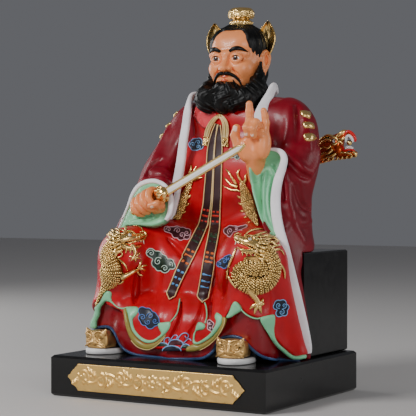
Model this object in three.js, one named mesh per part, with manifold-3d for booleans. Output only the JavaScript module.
// A seated Taoist deity in painted cast resin, with a sword, on a black plinth and seat block.
// Units are millimetres, +Z is up, the front faces -Y, and the origin is the middle of the plinth's underside.
import * as THREE from "three";
import { mergeVertices } from "three/addons/utils/BufferGeometryUtils.js";
import Module from "manifold-3d";

const wasm = await Module();
wasm.setup();

// Driving dimensions
const PLINTH = { width: 265, depth: 210, height: 44, edge: 2.5 };
const SEAT = { width: 243, depth: 105.5, height: 112, front: -1, edge: 1.5 };
const PLAQUE = { width: 218, height: 29, thick: 2.4, centreZ: 22.5, point: 13 };
const THRONE = { y: 97.5, post: 11, panel: 7, half: 56, panelHeight: 96, postHeight: 104 };
const RAIL = { height: 260, half: 106, rise: 9 };
const GAP = 0.3;
const SLIVER = 1.2;
const FIGURE_YAW = THREE.MathUtils.degToRad(-6.5);
const FIGURE_SHIFT = new THREE.Vector3(1, 0, 0);
const FLOOR = PLINTH.height + GAP;
const SEAT_TOP = PLINTH.height + GAP + SEAT.height;

// Landmarks of the figure, in its own frame: x to the viewer's right, y to the back
const MID = 3;
const KNEES = [{ x: -74, y: -46, z: 149, r: 27 }, { x: 88, y: -42, z: 147, r: 28 }];
const SHINS = [{ x: -101, y: -50, z: 60, r: 20 }, { x: 94, y: -34, z: 60, r: 24 }];
const HEAD = { y: 60, z: 372, rx: 30, ry: 33, rz: 33 };
const CROWN = { x: 3, y: 63, z: 404 };
const SHOES = [{ x: -88, y: -66, turn: 4 }, { x: 80, y: -54, turn: -24 }];
const SHOE = { length: 54, width: 31, sole: 6 };
const GRIP = new THREE.Vector3(-50, -39, 209);
const BLADE_TIP = new THREE.Vector3(74, -30, 270);
const HAND = new THREE.Vector3(63, 0, 276);
const RIBBON = { width: 8, proud: 4, steps: 14 };
const RIBBONS = [
  [[-3, 296], [-6, 262], [-6, 225], [-4, 196], [0, 165], [-4, 130], [-12, 106]],
  [[4, 296], [6, 262], [8, 225], [12, 196], [24, 165], [27, 130], [28, 104]],
];

const vec = (x, y, z) => new THREE.Vector3(x, y, z);
const lerp = THREE.MathUtils.lerp;

// Distance fields of the soft masses
function blend(a, b, k) {
  const h = Math.max(k - Math.abs(a - b), 0) / k;
  return Math.min(a, b) - (h * h * k) / 4;
}

function coneField(p, a, b, ra, rb) {
  const ab = b.clone().sub(a);
  const t = THREE.MathUtils.clamp(p.clone().sub(a).dot(ab) / ab.lengthSq(), 0, 1);
  return p.distanceTo(ab.multiplyScalar(t).add(a)) - lerp(ra, rb, t);
}

function eggField(p, c, r) {
  const q = p.clone().sub(c);
  const k0 = q.clone().divide(r).length();
  const k1 = q.clone().divide(r).divide(r).length();
  return (k0 * (k0 - 1)) / Math.max(k1, 1e-9);
}

// The masses under the cloth: [from, to, radius, radius], or [centre, radii]
const SKIRT_MASSES = [
  [vec(MID, 42, 156), vec(106, 62, 30)],
  [vec(-44, -8, 132), vec(54, -6, 132), 36, 36],
  [vec(-60, -34, 74), vec(60, -30, 74), 34, 34],
  [vec(MID, 10, 44), vec(100, 82, 36)],
  [vec(98, -26, 146), vec(113, 0, 52), 20, 14],
  [vec(-84, -26, 140), vec(-106, -12, 52), 20, 14],
];
KNEES.forEach((k, i) => {
  const knee = vec(k.x, k.y, k.z);
  SKIRT_MASSES.push([vec(MID + (i ? 36 : -36), 38, 168), knee, 30, k.r]);
  SKIRT_MASSES.push([knee, vec(SHINS[i].x, SHINS[i].y, SHINS[i].z), k.r, SHINS[i].r]);
});
const TRUNK_MASSES = [
  [vec(MID, 54, 212), vec(66, 44, 76)],
  [vec(MID, 57, 284), vec(66, 30, 46)],
  [vec(MID - 62, 58, 298), vec(MID + 64, 60, 298), 24, 25],
  [vec(MID, 62, 306), vec(MID, 64, 334), 30, 22],
  [vec(MID, 60, 172), vec(98, 42, 34)],
  [vec(82, 44, 244), vec(93, 34, 158), 24, 25],
  [vec(-74, 38, 236), vec(-90, 30, 158), 20, 24],
];
const MASS_BLEND = 18;

function massField(masses, folds) {
  return (p) => {
    let d = Infinity;
    for (const m of masses) {
      const one = m.length === 2 ? eggField(p, ...m) : coneField(p, ...m);
      d = d === Infinity ? one : blend(d, one, MASS_BLEND);
    }
    return d - folds(p);
  };
}

// Broad folds that grow towards the hem, and pleats down the back
function skirtFolds(p) {
  const below = THREE.MathUtils.smoothstep(-p.z, -150, -60);
  const round = Math.atan2(p.x - MID, -(p.y - 10));
  return below * 2.4 * Math.cos(10 * round + 0.5 * Math.sin(p.z / 17));
}

function trunkFolds(p) {
  const back = THREE.MathUtils.smoothstep(p.y, 50, 80) * THREE.MathUtils.smoothstep(-p.z, -300, -260);
  return back * 1.8 * Math.cos(p.x / 6);
}

const skirt = massField(SKIRT_MASSES, skirtFolds);
const trunk = massField(TRUNK_MASSES, trunkFolds);

// Furthest point of a field along a ray, found from outside
function reach(field, from, direction, far, step = 3) {
  const at = (r) => field(direction.clone().multiplyScalar(r).add(from));
  let outer = far;
  while (outer > step && at(outer - step) > 0) outer -= step;
  let inner = outer - step;
  for (let i = 0; i < 8; i++) {
    const middle = (inner + outer) / 2;
    if (at(middle) > 0) outer = middle;
    else inner = middle;
  }
  return Math.max(inner, 1);
}

// Front surface of the robe at a place seen from the front
function front(x, z) {
  const from = vec(x, 60, z);
  const way = vec(0, -1, 0);
  return 60 - Math.max(reach(skirt, from, way, 190, 4), reach(trunk, from, way, 190, 4));
}

// Closed mesh through rings of points, with flat or pointed ends, or joined end to end
function loft(rings, joined = false) {
  const n = rings[0].length;
  const points = rings.flat();
  const faces = [];
  const last = joined ? rings.length : rings.length - 1;
  for (let i = 0; i < last; i++) {
    for (let j = 0; j < n; j++) {
      const a = i * n + j;
      const b = i * n + ((j + 1) % n);
      const c = ((i + 1) % rings.length) * n + j;
      const d = ((i + 1) % rings.length) * n + ((j + 1) % n);
      faces.push(a, b, d, a, d, c);
    }
  }
  if (!joined) {
    for (const [ring, turn] of [[0, 1], [rings.length - 1, 0]]) {
      const middle = rings[ring].reduce((s, p) => s.add(p), vec(0, 0, 0)).divideScalar(n);
      points.push(middle);
      for (let j = 0; j < n; j++) {
        const a = ring * n + j;
        const b = ring * n + ((j + 1) % n);
        faces.push(points.length - 1, turn ? b : a, turn ? a : b);
      }
    }
  }
  const made = new THREE.BufferGeometry();
  made.setAttribute("position", new THREE.Float32BufferAttribute(points.flatMap((p) => [p.x, p.y, p.z]), 3));
  made.setIndex(faces);
  return made;
}

// A tube of changing width and height along points; "up" leans its section
function tube(points, size, sides = 8, up = vec(0, 0, 1), joined = false) {
  const n = points.length;
  const rings = points.map((p, i) => {
    const before = points[joined ? (i + n - 1) % n : Math.max(i - 1, 0)];
    const after = points[joined ? (i + 1) % n : Math.min(i + 1, n - 1)];
    const along = after.clone().sub(before).normalize();
    const side = along.clone().cross(up).normalize();
    const top = side.clone().cross(along).normalize();
    const [w, h] = size(joined ? i / n : i / (n - 1));
    return Array.from({ length: sides }, (_, j) => {
      const turn = (2 * Math.PI * (j + 0.5)) / sides;
      return p.clone().addScaledVector(side, w * Math.cos(turn)).addScaledVector(top, h * Math.sin(turn));
    });
  });
  return loft(rings, joined);
}

function egg(c, r, across = 14, down = 10) {
  const ball = new THREE.SphereGeometry(1, across, down).rotateX(Math.PI / 2);
  return ball.scale(r.x, r.y, r.z).translate(c.x, c.y, c.z);
}

// A round-ended cone between two places
function limb(a, b, ra, rb, sides = 8) {
  const along = b.clone().sub(a);
  const profile = [];
  for (let i = 0; i <= 3; i++) {
    const turn = (-Math.PI / 2) * (1 - i / 3);
    profile.push(new THREE.Vector2(ra * Math.cos(turn), ra * Math.sin(turn)));
  }
  for (let i = 0; i <= 3; i++) {
    const turn = ((Math.PI / 2) * i) / 3;
    profile.push(new THREE.Vector2(rb * Math.cos(turn), along.length() + rb * Math.sin(turn)));
  }
  profile[0].x = 0;
  profile[profile.length - 1].x = 0;
  const turn = new THREE.Quaternion().setFromUnitVectors(vec(0, 1, 0), along.normalize());
  return new THREE.LatheGeometry(profile, sides).applyQuaternion(turn).translate(a.x, a.y, a.z);
}

// A flat outline made thick, with bevelled edges when asked
function slab(shape, thick, bevel = 0, curve = 6) {
  return new THREE.ExtrudeGeometry(shape, {
    depth: thick - 2 * bevel, bevelEnabled: bevel > 0, bevelThickness: bevel,
    bevelSize: bevel, bevelOffset: -bevel, bevelSegments: 1, curveSegments: curve,
  }).translate(0, 0, bevel);
}

function rectangle(width, depth, x = 0, y = 0) {
  const shape = new THREE.Shape();
  shape.moveTo(x - width / 2, y - depth / 2);
  shape.lineTo(x + width / 2, y - depth / 2);
  shape.lineTo(x + width / 2, y + depth / 2);
  shape.lineTo(x - width / 2, y + depth / 2);
  shape.closePath();
  return shape;
}

// Solids that manifold-3d joins and cuts
function solid(geometry) {
  const bare = geometry.index ? geometry.toNonIndexed() : geometry.clone();
  for (const name of Object.keys(bare.attributes)) if (name !== "position") bare.deleteAttribute(name);
  const merged = mergeVertices(bare, 1e-4);
  const made = new wasm.Manifold(new wasm.Mesh({
    numProp: 3,
    vertProperties: merged.attributes.position.array,
    triVerts: new Uint32Array(merged.index.array),
  }));
  if (made.volume() > 0) return made;
  const turned = new Uint32Array(merged.index.array);
  for (let i = 0; i < turned.length; i += 3) [turned[i + 1], turned[i + 2]] = [turned[i + 2], turned[i + 1]];
  return new wasm.Manifold(new wasm.Mesh({
    numProp: 3,
    vertProperties: merged.attributes.position.array,
    triVerts: turned,
  }));
}

const join = (parts) => parts.map(solid).reduce((a, b) => a.add(b));

function geometryOf(made) {
  const m = made.getMesh();
  const out = new THREE.BufferGeometry();
  const v = new Float32Array(m.numVert * 3);
  for (let i = 0; i < m.numVert; i++) v.set(m.vertProperties.subarray(i * m.numProp, i * m.numProp + 3), i * 3);
  out.setAttribute("position", new THREE.BufferAttribute(v, 3));
  out.setIndex(new THREE.BufferAttribute(m.triVerts, 1));
  out.computeVertexNormals();
  return out;
}

// Level sections of a field round an upright axis; more of the points look forward when asked
function sections(field, axis, heights, sides, grow = 0, ahead = 0.5) {
  const turns = Array.from({ length: sides }, (_, j) => {
    const share = j / sides;
    return share < ahead ? (Math.PI * share) / ahead : Math.PI * (1 + (share - ahead) / (1 - ahead));
  });
  return heights.map((height, i) => {
    return turns.map((turn) => {
      const way = vec(Math.cos(turn), -Math.sin(turn), 0);
      const z = typeof height === "function" ? height(turn) : height;
      const c = axis(z);
      const out = typeof grow === "function" ? grow(i) : grow;
      return way.multiplyScalar(reach(field, c, way, 170) + out).add(c);
    });
  });
}

// Hem of the outer robe as [angle from the front, height]: arches over both shoes, low lobes between
const HEM = [
  [-1.9, 48], [-1.52, 47], [-1.14, 90], [-0.95, 97], [-0.74, 95], [-0.58, 76], [-0.4, 60], [-0.2, 56],
  [-0.06, 66], [0.06, 62], [0.24, 57], [0.44, 68], [0.58, 92], [0.8, 110], [0.95, 102], [1.12, 76], [1.7, 60],
];

function hemHeight(turn) {
  const angle = turn - Math.PI / 2;
  if (angle <= HEM[0][0]) return HEM[0][1];
  for (let i = 1; i < HEM.length; i++) {
    if (angle > HEM[i][0]) continue;
    const [[a, low], [b, high]] = [HEM[i - 1], HEM[i]];
    return lerp(low, high, THREE.MathUtils.smoothstep(angle, a, b));
  }
  return HEM[HEM.length - 1][1];
}

const skirtAxis = (z) => vec(MID, lerp(2, 26, THREE.MathUtils.smoothstep(z, 150, 190)), z);
const trunkAxis = (z) => vec(MID, 52, z);

// Under-robe from the plinth to the hem, a step out, and the outer robe up over the lap
function skirtParts() {
  const under = [0, 0.4, 0.75, 1].map((t) => (turn) => lerp(FLOOR, hemHeight(turn), t));
  const over = [0, 0.14, 0.45, 1].map((t) => (turn) => lerp(hemHeight(turn), 138, t));
  const proud = (i) => (i < under.length ? -3 : lerp(4, 1, Math.min((i - under.length) / 2, 1)));
  const heights = [...under, ...over, 153, 165, 175, 183, 189];
  return [loft(sections(skirt, skirtAxis, heights, 40, proud, 0.78))];
}

// A place on the robe below the lap, by angle from the front and height
function onSkirt(angle, z, out = 0) {
  const c = skirtAxis(z);
  const way = vec(-Math.sin(angle), -Math.cos(angle), 0);
  return way.multiplyScalar(reach(skirt, c, way, 170) + 1 + out).add(c);
}

function trunkParts() {
  const heights = [158, 180, 205, 230, 254, 276, 295, 308, 318, 326, 336, 348];
  return [loft(sections(trunk, trunkAxis, heights, 24))];
}

// Wide sleeve: rings down the arm, then the open mouth and its shallow inside
function sleeve(arm, mouth, sides) {
  const rings = [];
  arm.forEach(([x, y, z, wide, high], i) => {
    const p = vec(x, y, z);
    const before = vec(...arm[Math.max(i - 1, 0)].slice(0, 3));
    const after = vec(...arm[Math.min(i + 1, arm.length - 1)].slice(0, 3));
    const along = after.sub(before).normalize();
    const side = along.clone().cross(vec(0, -0.5, 1)).normalize();
    const top = side.clone().cross(along).normalize();
    rings.push(Array.from({ length: sides }, (_, j) => {
      const turn = (2 * Math.PI * j) / sides;
      return p.clone().addScaledVector(side, wide * Math.cos(turn)).addScaledVector(top, high * Math.sin(turn));
    }));
  });
  const rim = new THREE.CatmullRomCurve3(mouth, true).getPoints(sides).slice(0, -1);
  const middle = rim.reduce((s, p) => s.add(p), vec(0, 0, 0)).divideScalar(sides);
  const lastRing = rings[rings.length - 1];
  rings.push(rim.map((p, j) => p.clone().lerp(lastRing[j], 0.4)));
  rings.push(rim);
  rings.push(rim.map((p) => p.clone().lerp(middle, 0.18)));
  rings.push(rim.map((p) => p.clone().lerp(middle, 0.3).add(vec(0, 9, 0))));
  return loft(rings);
}

// Sleeves down the arm: place, width and height
const RIGHT_ARM = [
  [-50, 60, 304, 22, 22], [-66, 54, 288, 27, 25], [-76, 42, 262, 27, 25], [-80, 22, 238, 26, 24],
];
const LEFT_ARM = [
  [56, 60, 304, 22, 22], [74, 58, 288, 28, 26], [84, 50, 262, 26, 27], [87, 36, 234, 24, 27],
];

// Sleeve mouths: viewer's left, up over the top, and round
const RIGHT_MOUTH = [
  vec(-110, -34, 178), vec(-95, -26, 205), vec(-76, -20, 229), vec(-53, -22, 228),
  vec(-36, -28, 214), vec(-28, -32, 195), vec(-52, -40, 186), vec(-88, -46, 178),
];
const LEFT_MOUTH = [
  vec(58, -2, 246), vec(68, 10, 266), vec(86, 12, 268), vec(98, 6, 250), vec(101, -2, 226),
  vec(105, -10, 202), vec(113, -18, 176), vec(100, -24, 174), vec(80, -18, 190), vec(62, -8, 218),
];

function sleeveParts() {
  return [sleeve(RIGHT_ARM, RIGHT_MOUTH, 16), sleeve(LEFT_ARM, LEFT_MOUTH, 18)];
}

// Front edge of the cloak where it falls past the seat, on each side
const CLOAK_FALL = [
  [108, -12, 196], [114, -20, 178], [119, -18, 160], [121, -14, 140],
  [123, -8, 116], [127, 0, 86], [128, 8, 62], [128, 10, 48],
];

function cloakParts() {
  return [-1, 1].map((side) => {
    const rings = [...CLOAK_FALL].reverse().map(([x, y, z], i) => {
      const ahead = side < 0 ? y - 26 : y;
      const behind = z > SEAT_TOP ? 50 : 18;
      const middle = (ahead + behind) / 2;
      return Array.from({ length: 10 }, (_, j) => {
        const turn = (2 * Math.PI * j) / 10;
        const out = x - 17 + (side < 0 ? -8 : 0) + 16 * Math.cos(turn);
        return vec(side * out, middle - (middle - ahead + 1) * Math.sin(turn), i === 0 ? FLOOR : z);
      });
    });
    return loft(rings);
  });
}

// Head, neck, hair, beard, brows, ears, the pair of cap flaps and the crown
function headParts() {
  const parts = [
    egg(vec(MID, HEAD.y, HEAD.z), vec(HEAD.rx, HEAD.ry, HEAD.rz), 14, 10),
    egg(vec(MID + 1, 65, 380), vec(31.5, 32, 27), 14, 8),
    egg(vec(MID, 51, 353), vec(26, 25, 25), 12, 8),
    limb(vec(MID, 64, 320), vec(MID, 62, 352), 19, 19, 8),
    egg(vec(MID, 43, 332), vec(40, 30, 25), 14, 8),
    egg(vec(MID - 19, 29, 324), vec(17, 16, 17), 8, 6),
    egg(vec(MID + 19, 29, 324), vec(17, 16, 17), 8, 6),
    egg(vec(MID, 24, 323), vec(13, 12, 16), 8, 6),
    limb(vec(MID, 30, 373), vec(MID, 25.5, 361), 3, 4.6, 6),
    finger([vec(MID - 22, 34, 378), vec(MID - 12, 28.5, 378), vec(MID - 4, 29, 376)], 2.6, vec(0, 0, 1)),
    finger([vec(MID + 22, 34, 378), vec(MID + 12, 28.5, 378), vec(MID + 4, 29, 376)], 2.6, vec(0, 0, 1)),
    finger([vec(MID - 22, 28, 344), vec(MID - 9, 21, 352), vec(MID, 22, 353)], 3, vec(0, 0, 1)),
    finger([vec(MID + 22, 28, 344), vec(MID + 9, 21, 352), vec(MID, 22, 353)], 3, vec(0, 0, 1)),
  ];
  for (const side of [-1, 1]) {
    parts.push(egg(vec(MID + side * 30, 60, 362), vec(5, 7.5, 13), 6, 6));
    parts.push(egg(vec(MID + side * 28, 46, 346), vec(9, 13, 18), 8, 6));
    parts.push(flapGeometry(side));
  }
  const r = [0, 13, 12, 10.5, 13.5, 15, 15, 12, 0];
  const z = [-5, -4, 4, 7.5, 10, 14, 20, 24, 23];
  const profile = r.map((radius, i) => new THREE.Vector2(radius, z[i]));
  const crown = new THREE.LatheGeometry(profile, 12).rotateX(Math.PI / 2).scale(1, 0.86, 1);
  parts.push(crown.translate(CROWN.x, CROWN.y, CROWN.z));
  return parts;
}

// Upright cap flap, hollowed towards the front
function flapGeometry(side) {
  const rows = 7;
  const rings = Array.from({ length: rows }, (_, i) => {
    const t = i / (rows - 1);
    const half = lerp(6, 10, Math.sin(Math.PI * Math.min(t + 0.25, 1)) ** 0.8) * (t < 0.95 ? 1 : 0.25);
    const middle = MID + side * (36 + 3 * t);
    const z = lerp(360, 411, t);
    return [[-1, 0], [0, 2.6], [1, 0], [0, 4.6]].map(([a, back]) => {
      const y = 60 + back * Math.sin(Math.PI * (1 - 0.8 * t)) + 3 * t + (a === 0 ? 0.6 : 0);
      return vec(middle + side * a * half, y, z);
    });
  });
  return loft(rings);
}

// A finger through its joints, tapering to a rounded tip
function finger(joints, thick, up = vec(0, 0, 1)) {
  const tip = joints[joints.length - 1].clone();
  tip.add(tip.clone().sub(joints[joints.length - 2]).setLength(thick * 0.5));
  const points = [...joints, tip];
  const size = (t) => (t === 1 ? thick * 0.45 : lerp(thick, thick * 0.8, t));
  return tube(points, (t) => [size(t), size(t)], 5, up);
}

// Raised left hand: first and last finger up, two folded, thumb across
function raisedHand() {
  const at = (x, y, z) => HAND.clone().add(vec(x, y, z));
  const ahead = vec(0, 1, 0.1);
  const parts = [
    tube([at(-4, 16, -40), at(-2, 9, -21), at(0, 3, -4), at(2, 1, 9), at(4, 1, 18)],
      (t) => [lerp(9, 17, Math.sin(Math.PI * Math.min(t + 0.05, 0.75))), lerp(11, 8, t)], 10, vec(0, 1, 0.2)),
    finger([at(-4, -1, 14), at(-4, -1, 28), at(-3, -4, 38)], 4.7, ahead),
    finger([at(13, 0, 10), at(14.5, 1, 22), at(13.5, 0, 30)], 4.3, ahead),
    finger([at(-12, -4, -12), at(-17, -8, 0), at(-14, -10, 13)], 5.6, ahead),
  ];
  for (const x of [2, 10]) {
    parts.push(finger([at(x, 0, 14), at(x, -11, 19), at(x - 1, -13, 8)], 4.7, vec(1, 0, 0)));
  }
  return parts;
}

const bladeWay = BLADE_TIP.clone().sub(GRIP).normalize();
const onSword = (along, side = vec(0, 0, 0)) => bladeWay.clone().multiplyScalar(along).add(GRIP).add(side);
const swordUp = vec(0, 0, 1).addScaledVector(bladeWay, -bladeWay.z).normalize();
const swordOut = bladeWay.clone().cross(swordUp).normalize();

// Right fist: fingers wrap over the grip from knuckles to tips, thumb below the guard
const FIST_RADIUS = 10.5;

function fist() {
  const parts = [limb(vec(-68, -8, 212), onSword(-3, vec(0, 12, 1)), 13, 13, 10)];
  const turns = [115, 45, -25, -95];
  for (let i = 0; i < 4; i++) {
    const along = 11 - 7.4 * i;
    const joints = turns.map((degrees) => {
      const a = THREE.MathUtils.degToRad(degrees);
      const height = FIST_RADIUS * Math.sin(a);
      const out = FIST_RADIUS * Math.cos(a);
      return onSword(along).addScaledVector(swordUp, height).addScaledVector(swordOut, out);
    });
    parts.push(finger(joints, 4.6, bladeWay));
  }
  const thumb = [onSword(0, vec(-2, 8, -9)), onSword(17, vec(0, -3, -13)), onSword(9, vec(0, -13, -11))];
  parts.push(finger(thumb, 5.5, vec(1, 0, 0)));
  parts.push(egg(onSword(0), vec(13, 12, 12), 8, 6));
  return parts;
}

// Beast-masked boots under the hem
function shoeParts({ x, y, turn }) {
  const sole = new THREE.Shape();
  sole.absellipse(0, 0, SHOE.width / 2, SHOE.length / 2, 0, 2 * Math.PI);
  const parts = [
    slab(sole, SHOE.sole, 0, 3),
    egg(vec(0, 2, 12), vec(14.5, 24, 14), 10, 6),
    egg(vec(0, -15, 14), vec(13, 9.5, 11), 8, 6),
  ];
  for (const ear of [-1, 1]) parts.push(limb(vec(ear * 9, -15, 20), vec(ear * 11, -13, 27), 4.5, 1.5, 6));
  const place = new THREE.Matrix4().makeRotationZ(THREE.MathUtils.degToRad(-turn)).setPosition(x, y, FLOOR);
  return parts.map((g) => g.applyMatrix4(place));
}

// Flat ribbon lying on the cloth, through points seen from the front
function ribbon(points) {
  const curve = new THREE.CatmullRomCurve3(points.map(([x, z]) => vec(x, 0, z)));
  const line = curve.getPoints(RIBBON.steps).map((p) => vec(p.x, front(p.x, p.z), p.z));
  return tube(line, () => [RIBBON.proud, RIBBON.width / 2], 4, vec(1, 0, 0));
}

// Coiling body of a gilt dragon in relief on the robe, through [angle, height] places
function dragon(places, thick, count = 9) {
  const curve = new THREE.CatmullRomCurve3(places.map(([angle, z]) => vec(angle * 100, z, 0)));
  const line = curve.getPoints(count).map((p) => onSkirt(p.x / 100, p.y, 0.5));
  const size = (t) => [thick * (0.45 + 0.55 * Math.sin(Math.PI * Math.min(t + 0.2, 1))), 4.5];
  return tube(line, size, 5, vec(0, 1, 0));
}

// Points along a padded band
function bandLine(points, count, joined = false) {
  const curve = new THREE.CatmullRomCurve3(points, joined);
  const line = curve.getPoints(count);
  return joined ? line.slice(0, -1) : line;
}

// The cloak's front edges, which run from behind the neck down the chest
const RIGHT_BAND = [
  [-28, 338, 76], [-34, 336, 52], [-36, 320, 34], [-38, 298, 22],
  [-38, 268, 11], [-37, 240, 7], [-36, 212, 4], [-38, 190, -6],
].map(([x, z, y]) => vec(x, y, z));
const LEFT_BAND = [
  [34, 338, 76], [44, 337, 54], [50, 325, 38], [52, 302, 26], [53, 275, 18],
].map(([x, z, y]) => vec(x, y, z));

// Padded bands along the cloak's edges and round the sleeve mouths
function bands() {
  const flat = () => [4.8, 2.4];
  const fall = CLOAK_FALL.slice(2).map(([x, y, z]) => vec(x, y, z));
  const leftFront = [...LEFT_MOUTH.slice(2, 7), ...fall];
  return [
    tube(bandLine(RIGHT_BAND, 8), flat, 4, vec(0, 1, 0)),
    tube(bandLine(LEFT_BAND, 6), flat, 4, vec(0, 1, 0)),
    tube(bandLine(leftFront, 12), () => [5, 2.6], 4, vec(0.3, 1, 0)),
    tube(bandLine(RIGHT_MOUTH, 12, true), () => [3, 3.4], 4, vec(0, 1, 0), true),
  ];
}

// Places the figure's own frame on the plinth
const figurePlace = new THREE.Matrix4().makeRotationZ(FIGURE_YAW).setPosition(FIGURE_SHIFT);

function swordParts(grow = 0) {
  const length = BLADE_TIP.distanceTo(GRIP);
  const bladeSize = (t) => [1.5 + grow, lerp(3.2, 2.6, t) * (t > 0.95 ? 0.12 : 1) + grow];
  const bladeLine = [24, 60, length - 20, length - 9, length].map((along) => onSword(along));
  const blade = tube(bladeLine, bladeSize, 4, swordUp);
  const grip = limb(onSword(-13), onSword(20), 4.2 + grow, 4.2 + grow, 8);
  const guardSize = (t) => {
    const swell = 2 * Math.sin(Math.PI * t);
    return [4.5 + swell + grow, 6.5 + swell + grow];
  };
  const guard = tube([13.5, 15, 22, 24.5].map((along) => onSword(along)), guardSize, 10, swordUp);
  return [blade, grip, guard];
}

const seatY = SEAT.front + SEAT.depth / 2;

// Square block with broken edges, standing at a height
function block(size, y, z) {
  return slab(rectangle(size.width, size.depth, 0, y), size.height, size.edge).translate(0, 0, z);
}

function figureGeometry() {
  const parts = [
    ...skirtParts(), ...trunkParts(), ...sleeveParts(), ...cloakParts(), ...headParts(),
    ...raisedHand(), ...fist(), ...SHOES.flatMap(shoeParts), ...bands(),
    ...RIBBONS.map((points) => ribbon(points.map(([x, z]) => [MID + x, z]))),
    dragon([[0.72, 171], [0.9, 172], [1.1, 160], [1.15, 142], [0.98, 128], [0.86, 138], [1.02, 146]], 8),
    dragon([[1.05, 126], [1.12, 112], [1.08, 98]], 4, 3),
    dragon([[0.86, 132], [0.74, 136], [0.68, 130]], 3.5, 3),
    dragon([[-0.8, 168], [-0.98, 172], [-1.2, 160], [-1.26, 138], [-1.08, 118], [-0.9, 130], [-1.06, 144]], 9),
    dragon([[-0.95, 122], [-1, 110], [-0.96, 102]], 4.5, 3),
    dragon([[-0.84, 156], [-0.72, 140], [-0.76, 122]], 3, 3),
  ];
  const knot = vec(MID, front(MID, 298) - 1, 298);
  parts.push(egg(knot, vec(7, 5, 7), 8, 6));
  for (const side of [-1, 1]) {
    const x = MID + side * 15;
    const cord = [knot, vec(x - side * 2, front(x, 289) - 2, 289), vec(x, front(x, 275) - 1, 275)];
    parts.push(finger(cord, 4, vec(0, 1, 0)));
  }
  const whole = solid(geometryOf(join(parts)).applyMatrix4(figurePlace));
  const roomShape = rectangle(SEAT.width + 2 * GAP, SEAT.depth + 2 * GAP + 60, 0, seatY + 30);
  const room = slab(roomShape, SEAT.height + 3 * GAP).translate(0, 0, PLINTH.height - GAP);
  const under = slab(rectangle(600, 600), 60).translate(0, 0, FLOOR - 60);
  const behind = slab(rectangle(600, 200, 0, THRONE.y - THRONE.post / 2 - GAP + 100), 400);
  const held = solid(geometryOf(join(swordParts(GAP))).applyMatrix4(figurePlace));
  const tidy = solid(withoutSlivers(geometryOf(whole), SLIVER));
  const cut = tidy.subtract(solid(room)).subtract(solid(under)).subtract(solid(behind)).subtract(held);
  return geometryOf(keepLargest(cut));
}

// Draws together the ends of edges too short to see, where no face turns over
function withoutSlivers(geometry, shortest) {
  const at = geometry.attributes.position;
  const places = Array.from({ length: at.count }, (_, i) => vec(at.getX(i), at.getY(i), at.getZ(i)));
  const faces = [];
  for (let i = 0; i < geometry.index.count; i += 3) {
    faces.push([0, 1, 2].map((k) => geometry.index.getX(i + k)));
  }
  const around = places.map(() => new Set());
  faces.forEach((f, i) => f.forEach((v) => around[v].add(i)));
  const neighbours = (v) => new Set([...around[v]].flatMap((i) => faces[i]).filter((w) => w !== v));
  const facing = (f) => {
    const [a, b, c] = f.map((v) => places[v]);
    return b.clone().sub(a).cross(c.clone().sub(a)).normalize();
  };
  const canJoin = (keep, drop) => {
    const shared = [...neighbours(keep)].filter((v) => neighbours(drop).has(v));
    if (shared.length !== 2) return false;
    return [...around[drop]].filter((i) => !faces[i].includes(keep)).every((i) => {
      const moved = faces[i].map((v) => (v === drop ? keep : v));
      return facing(moved).dot(facing(faces[i])) > 0.7;
    });
  };
  let changed = true;
  while (changed) {
    changed = false;
    for (const f of faces) {
      for (let k = 0; k < 3 && f.length; k++) {
        const [keep, drop] = [f[k], f[(k + 1) % 3]];
        if (places[keep].distanceTo(places[drop]) > shortest || !canJoin(keep, drop)) continue;
        for (const i of [...around[drop]]) {
          if (faces[i].includes(keep)) {
            faces[i].forEach((v) => around[v].delete(i));
            faces[i].length = 0;
          } else {
            faces[i][faces[i].indexOf(drop)] = keep;
            around[keep].add(i);
          }
        }
        around[drop].clear();
        changed = true;
        break;
      }
    }
  }
  const out = new THREE.BufferGeometry();
  const corners = faces.flat().flatMap((v) => places[v].toArray());
  out.setAttribute("position", new THREE.Float32BufferAttribute(corners, 3));
  return out;
}

function keepLargest(made) {
  return made.decompose().reduce((a, b) => (a.volume() > b.volume() ? a : b));
}

// Gilt panel with pointed ends, scrolls and a middle blossom
function plaqueGeometry() {
  const { width, height, thick, centreZ, point } = PLAQUE;
  const half = width / 2;
  const shape = new THREE.Shape();
  shape.moveTo(-half + point, -height / 2);
  shape.lineTo(half - point, -height / 2);
  shape.quadraticCurveTo(half - point + 2, -height / 4, half - 5, -height / 5);
  shape.quadraticCurveTo(half - 4, -2, half, 0);
  shape.quadraticCurveTo(half - 4, 2, half - 5, height / 5);
  shape.quadraticCurveTo(half - point + 2, height / 4, half - point, height / 2);
  shape.lineTo(-half + point, height / 2);
  shape.quadraticCurveTo(-half + point - 2, height / 4, -half + 5, height / 5);
  shape.quadraticCurveTo(-half + 4, 2, -half, 0);
  shape.quadraticCurveTo(-half + 4, -2, -half + 5, -height / 5);
  shape.quadraticCurveTo(-half + point - 2, -height / 4, -half + point, -height / 2);
  const parts = [slab(shape, thick, 0.6, 3)];
  const blossom = new THREE.SphereGeometry(1, 8, 4).scale(8, 8, 2.2).translate(0, 0, thick);
  parts.push(blossom);
  for (const side of [-1, 1]) {
    for (let i = 0; i < 4; i++) {
      const x = side * (20 + 21 * i);
      const up = i % 2 ? 1 : -1;
      const curl = Array.from({ length: 7 }, (_, k) => {
        const turn = (k / 6) * 1.4 * Math.PI;
        const r = lerp(8.5, 3, k / 6);
        return vec(x + side * r * Math.cos(turn), up * r * Math.sin(turn) * 0.95, thick - 0.4);
      });
      parts.push(tube(curl, (t) => [lerp(1.9, 1.3, t), 1.5], 4, vec(0, 0, 1)));
    }
  }
  return join(parts);
}

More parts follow.
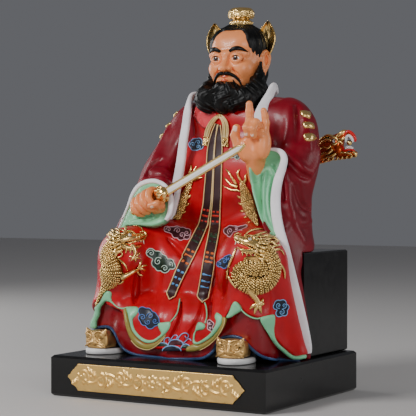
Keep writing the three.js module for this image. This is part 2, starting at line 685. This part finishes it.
// Carved chair rail behind the shoulders: a panel on two posts, with a dragon's head at each end
function throneBackGeometry() {
  const { y, post, panel, half, panelHeight, postHeight } = THRONE;
  const base = SEAT_TOP + GAP;
  const parts = [
    slab(rectangle(2 * half, panel, 0, y), panelHeight).translate(0, 0, base),
    slab(rectangle(post, post, -half, y), postHeight).translate(0, 0, base),
    slab(rectangle(post, post, half, y), postHeight).translate(0, 0, base),
  ];
  const rail = [];
  for (let i = 0; i <= 6; i++) {
    const x = lerp(-RAIL.half, RAIL.half, i / 6);
    rail.push(vec(x, y, RAIL.height + RAIL.rise * (x / RAIL.half) ** 4));
  }
  const railSize = (t) => [lerp(6, 5.2, Math.sin(Math.PI * t)), 10 + 1.5 * Math.abs(2 * t - 1)];
  parts.push(tube(rail, railSize, 6));
  for (const side of [-1, 1]) {
    const at = (x, up) => vec(side * x, y, up);
    parts.push(limb(at(100, 267), at(116, 270), 10.5, 10, 7));
    parts.push(finger([at(112, 272), at(124, 277), at(134, 276)], 8, vec(0, 1, 0)));
    parts.push(finger([at(112, 264), at(122, 261), at(132, 262)], 5.5, vec(0, 1, 0)));
    parts.push(finger([at(114, 279), at(106, 283), at(98, 284)], 3.6, vec(0, 1, 0)));
    parts.push(finger([at(108, 262), at(101, 257), at(94, 258)], 3.6, vec(0, 1, 0)));
  }
  return join(parts);
}

function paint(color, roughness, metalness = 0) {
  return new THREE.MeshStandardMaterial({ color, roughness, metalness });
}

const black = paint(0x0c0c0c, 0.22);
const gilt = paint(0xc9a45c, 0.35, 0.9);
const robeRed = paint(0xb01218, 0.25);
const chairRed = paint(0x8c1a12, 0.35);
const polished = paint(0xe9dfc0, 0.25, 0.6);

function piece(name, geometry, material) {
  const made = new THREE.Mesh(geometry, material);
  made.name = name;
  return made;
}

const root = new THREE.Group();
const plinth = piece("plinth", block(PLINTH, 0, 0), black);
const seat = piece("seat_block", block(SEAT, seatY, PLINTH.height + GAP), black);
const plaque = piece("plinth_plaque", geometryOf(plaqueGeometry()), gilt);
plaque.rotation.x = Math.PI / 2;
plaque.position.set(0, -PLINTH.depth / 2 - GAP, PLAQUE.centreZ);
const figure = piece("figure", figureGeometry(), robeRed);
const sword = piece("sword", geometryOf(join(swordParts())).applyMatrix4(figurePlace), polished);
const throneBack = piece("throne_back", geometryOf(throneBackGeometry()), chairRed);
root.add(plinth, seat, plaque, figure, sword, throneBack);

export default root;
